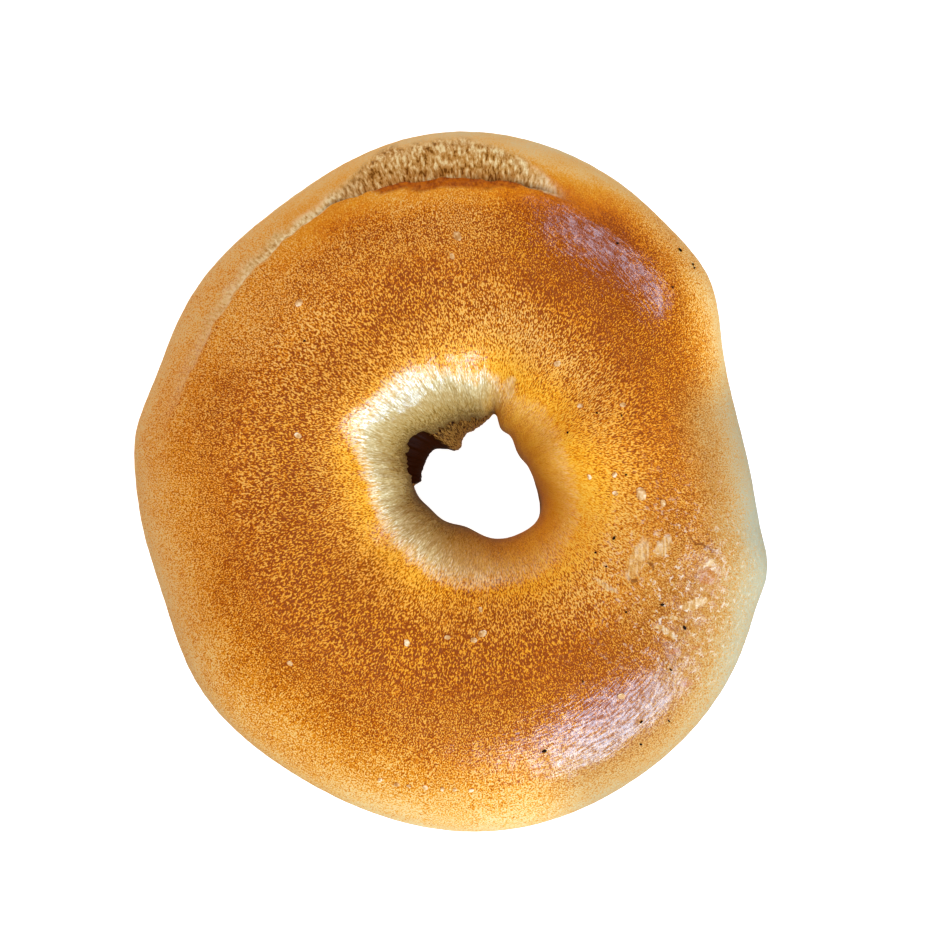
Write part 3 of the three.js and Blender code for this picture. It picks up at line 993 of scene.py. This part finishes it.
# Dough boiled and then baked: a thin brown skin, finely wrinkled, over pale crumb. The glaze shines softly
# where it is seen from in front, and its wrinkles take the shine away where it is seen at a slant.
def baked_crust():
    material, tree = new_material("boiled_and_baked_crust")
    part = {
        name: add_node(tree, "ShaderNodeAttribute", attribute_name=name).outputs["Fac"] for name in skin_parts
    }
    rope = add_node(tree, "ShaderNodeAttribute", attribute_name="rope_map").outputs["Vector"]
    place = add_node(tree, "ShaderNodeTexCoord").outputs["Object"]
    rope = add_node(
        tree, "ShaderNodeMix", {0: part["under"], 4: rope, 5: place}, data_type="VECTOR"
    ).outputs[1]
    pattern = skin_patterns(tree, rope, part["outer"])
    streak_place = add_node(
        tree, "ShaderNodeVectorMath", {0: rope, 1: (0.3, 0.3, 1.2)}, operation="MULTIPLY"
    ).outputs[0]
    streak = add_node(
        tree, "ShaderNodeTexNoise", {"Vector": streak_place, "Scale": 1 / (STREAK_WIDTH * MM), "Detail": 2.0}
    ).outputs["Fac"]
    colour = crust_colour(tree, part, pattern)
    colour, in_funnel = funnel_colour(tree, part, pattern, colour)
    colour = joint_colour(tree, part, place, colour)
    colour, pore = crumb_colour(tree, part, pattern, rope, colour)
    colour, in_hollow = hollow_colour(tree, part, pattern, colour)
    skin_bump, glaze_bump = wrinkle_bumps(tree, part, pattern, in_funnel, pore, streak)
    shader = add_node(
        tree,
        "ShaderNodeBsdfPrincipled",
        {
            "Base Color": colour,
            "Roughness": 0.5,
            "IOR": 1.45,
            "Specular IOR Level": 0.08,
            "Coat Weight": glaze_share(tree, part, pattern, in_hollow, streak),
            "Coat Roughness": 0.15,
            "Normal": skin_bump,
            "Coat Normal": glaze_bump,
        },
    ).outputs["BSDF"]
    add_node(tree, "ShaderNodeOutputMaterial", {"Surface": shader})
    return material


bagel.data.materials.append(baked_crust())

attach(bagel, "root")
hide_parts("bagel")


# Loose flakes of crust and charred specks lie where the photo shows them: x, y and size.
FLAKES = [
    (-22.3, 26.6, 1.2),
    (-22.3, 6.4, 1.1),
    (1.8, 36.7, 1.5),
    (1.0, 33.6, 0.9),
    (16.9, 17.3, 1.1),
    (29.6, -2.4, 2.0),
    (25.6, 0.5, 0.9),
    (32.9, -3.8, 1.1),
    (25.7, -2.3, 0.9),
    (21.8, 0.2, 0.8),
    (20.4, 10.9, 0.9),
    (26.8, 11.0, 0.9),
    (-5.8, -24.9, 1.1),
    (5.6, -23.5, 1.3),
    (4.3, -24.5, 1.0),
    (5.3, -19.9, 0.8),
    (0.3, -24.1, 0.9),
    (-23.5, -28.0, 0.9),
    (26.5, -33.0, 1.2),
    (-10.1, -45.9, 0.8),
    (-7.6, -46.6, 0.9),
    (-5.7, -46.8, 0.7),
    (-3.2, -47.0, 0.9),
    (-0.6, -47.2, 0.8),
    (1.3, -47.3, 0.7),
    (3.8, -47.4, 0.8),
]
SPECKS = [
    (-21.4, 20.8, 0.42),
    (18.5, 6.9, 0.38),
    (22.9, 9.8, 0.38),
    (26.6, 9.4, 0.38),
    (27.3, 0.5, 0.38),
    (25.5, -9.1, 0.6),
    (32.8, -19.2, 0.6),
    (36.2, -22.7, 0.7),
    (24.3, -13.4, 0.38),
    (22.7, -11.3, 0.38),
    (27.3, -20.3, 0.38),
    (34.1, -29.1, 0.42),
    (20.7, -30.7, 0.38),
    (29.6, -37.0, 0.42),
    (29.6, -40.5, 0.42),
    (33.9, -37.0, 0.38),
    (26.1, 35.9, 0.42),
    (35.9, 35.5, 0.65),
    (37.9, 33.3, 0.42),
    (38.1, 32.7, 0.42),
    (34.5, 29.2, 0.38),
    (14.9, -41.3, 0.7),
]
FLAKE_THICKNESS = 0.3
SPECK_THICKNESS = 0.4
GOLDEN_TURN = 137.5  # from one flake to the next, so that no two lie the same way


CHIP_RADIUS, CHIP_RIM = 0.65, 0.12


def make_chip(thickness, narrowing, roughness):
    """One chip a little over a millimetre across: a flat disc with a narrower top and an uneven outline."""
    bpy.ops.object.select_all(action="DESELECT")
    bpy.ops.mesh.primitive_cylinder_add(vertices=14, radius=CHIP_RADIUS * MM, depth=thickness * MM)
    chip = bpy.context.object
    chip.data.polygons.foreach_set("select", [face.normal.z > 0.9 for face in chip.data.polygons])
    bpy.ops.object.mode_set(mode="EDIT")
    bpy.ops.mesh.select_mode(type="FACE")
    bpy.ops.transform.resize(value=(narrowing, narrowing, 1), center_override=(0, 0, 0))
    bpy.ops.mesh.inset(thickness=CHIP_RIM * MM)
    bpy.ops.mesh.select_all(action="SELECT")
    bpy.ops.transform.vertex_random(offset=roughness * MM, seed=3)
    bpy.ops.mesh.normals_make_consistent(inside=False)
    bpy.ops.object.mode_set(mode="OBJECT")
    return chip


def lay_on_crust(chip, places, name, proportion):
    """Copies of the chip, pressed into the skin at each place and joined into one piece."""
    bpy.ops.object.select_all(action="DESELECT")
    for number, (x, y, size) in enumerate(places):
        hit, spot, normal, face = bagel.ray_cast(Vector((x * MM, y * MM, 0.1)), Vector((0, 0, -1)))
        copy = chip.copy()
        copy.data = chip.data.copy()
        bpy.context.collection.objects.link(copy)
        turn = normal.to_track_quat("Z", "Y") @ Quaternion((0, 0, 1), math.radians(number * GOLDEN_TURN))
        copy.matrix_world = Matrix.LocRotScale(spot, turn, Vector((size, size * proportion, 1)))
        copy.select_set(True)
        bpy.context.view_layer.objects.active = copy
    bpy.data.objects.remove(chip)
    bpy.ops.object.transform_apply(location=True, rotation=True, scale=True)
    bpy.ops.object.join()
    piece = bpy.context.object
    piece.name = name
    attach(piece, "root")
    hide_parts("bagel")
    return piece


# Dry flakes lifted off the skin in the oven: matt and paler than the crust.
def dry_flake():
    material, tree = new_material("dry_lifted_flake")
    place = add_node(tree, "ShaderNodeTexCoord").outputs["Object"]
    patch = add_node(
        tree, "ShaderNodeTexNoise", {"Vector": place, "Scale": 1 / (0.8 * MM), "Detail": 2.0}
    ).outputs["Fac"]
    colour = add_node(
        tree,
        "ShaderNodeValToRGB",
        {"Fac": patch},
        stops=[(0.35, "#B0702C"), (0.5, "#D49C5C"), (0.66, "#F0CCA0")],
    ).outputs["Color"]
    shader = add_node(
        tree, "ShaderNodeBsdfPrincipled", {"Base Color": colour, "Roughness": 0.6}
    ).outputs["BSDF"]
    add_node(tree, "ShaderNodeOutputMaterial", {"Surface": shader})
    return material


# Crumbs of the oven's floor burnt black: dull and rough.
def charred_crumb():
    material, tree = new_material("charred_crumb")
    shader = add_node(
        tree,
        "ShaderNodeBsdfPrincipled",
        {"Base Color": linear("#1C0C04"), "Roughness": 0.9, "Specular IOR Level": 0.1},
    ).outputs["BSDF"]
    add_node(tree, "ShaderNodeOutputMaterial", {"Surface": shader})
    return material


bpy.context.view_layer.update()
flakes = lay_on_crust(make_chip(FLAKE_THICKNESS, 0.75, 0.1), FLAKES, "crust_flakes", 0.75)
flakes.data.materials.append(dry_flake())
specks = lay_on_crust(make_chip(SPECK_THICKNESS, 0.8, 0.12), SPECKS, "charred_specks", 0.6)
specks.data.materials.append(charred_crumb())


# Floor, light and the world round them.
def glowing_card(name, colour, strength):
    material, tree = new_material(name)
    shader = add_node(
        tree,
        "ShaderNodeBsdfPrincipled",
        {
            "Base Color": linear(colour),
            "Roughness": 0.9,
            "Emission Color": linear("#FFFFFF"),
            "Emission Strength": strength,
        },
    ).outputs["BSDF"]
    add_node(tree, "ShaderNodeOutputMaterial", {"Surface": shader})
    return material


def pale_floor():
    bpy.ops.mesh.primitive_plane_add(size=12, location=(0, 0, 0))
    floor = bpy.context.object
    floor.name = "pale_floor"
    floor.data.materials.append(glowing_card("white_card", "#C8C8C8", 0.95))
    floor.visible_glossy = False


def pale_backdrop():
    """A white dome that only the camera sees, so that the side views have no horizon."""
    bpy.ops.mesh.primitive_uv_sphere_add(segments=48, ring_count=24, radius=5.5, location=(0, 0, 0))
    dome = bpy.context.object
    dome.name = "pale_backdrop"
    dome.data.materials.append(glowing_card("white_paper", "#000000", 1.0))
    dome.visible_diffuse = False
    dome.visible_glossy = False
    dome.visible_shadow = False


def area_light(name, azimuth, elevation, width, height, radiance, colour):
    """A rectangle of light one metre away on that side, facing the bagel. Width and height are in degrees."""
    side, rise = math.radians(azimuth), math.radians(elevation)
    back = Vector((math.cos(side) * math.cos(rise), math.sin(side) * math.cos(rise), math.sin(rise)))
    bpy.ops.object.light_add(type="AREA", location=Vector((0, 0, 0.02)) + back)
    light = bpy.context.object
    light.name = name
    light.rotation_euler = (-back).to_track_quat("-Z", "Y").to_euler()
    light.data.shape = "RECTANGLE"
    light.data.size = 2 * math.tan(math.radians(width / 2))
    light.data.size_y = 2 * math.tan(math.radians(height / 2))
    light.data.energy = radiance * math.pi * light.data.size * light.data.size_y
    light.data.color = linear(colour)[:3]
    return light


def light_scene():
    overhead = area_light("soft_box_overhead", 140, 68, 60, 60, 1.84, "#FFF2E2")
    overhead.visible_glossy = False
    area_light("window_lower_right", -50, 33, 42, 46, 11.4, "#BCDEFF")
    area_light("window_upper_right", 46, 36, 15, 22, 6.0, "#C0DCFF")
    world = bpy.data.worlds.new("even_light")
    bpy.context.scene.world = world
    world.use_nodes = True
    world.node_tree.nodes.clear()
    sky = add_node(
        world.node_tree, "ShaderNodeBackground", {"Color": linear("#FFF0DC"), "Strength": 0.15}
    ).outputs[0]
    add_node(world.node_tree, "ShaderNodeOutputWorld", {"Surface": sky})


pale_floor()
pale_backdrop()
light_scene()
bpy.context.scene.view_settings.view_transform = "Standard"
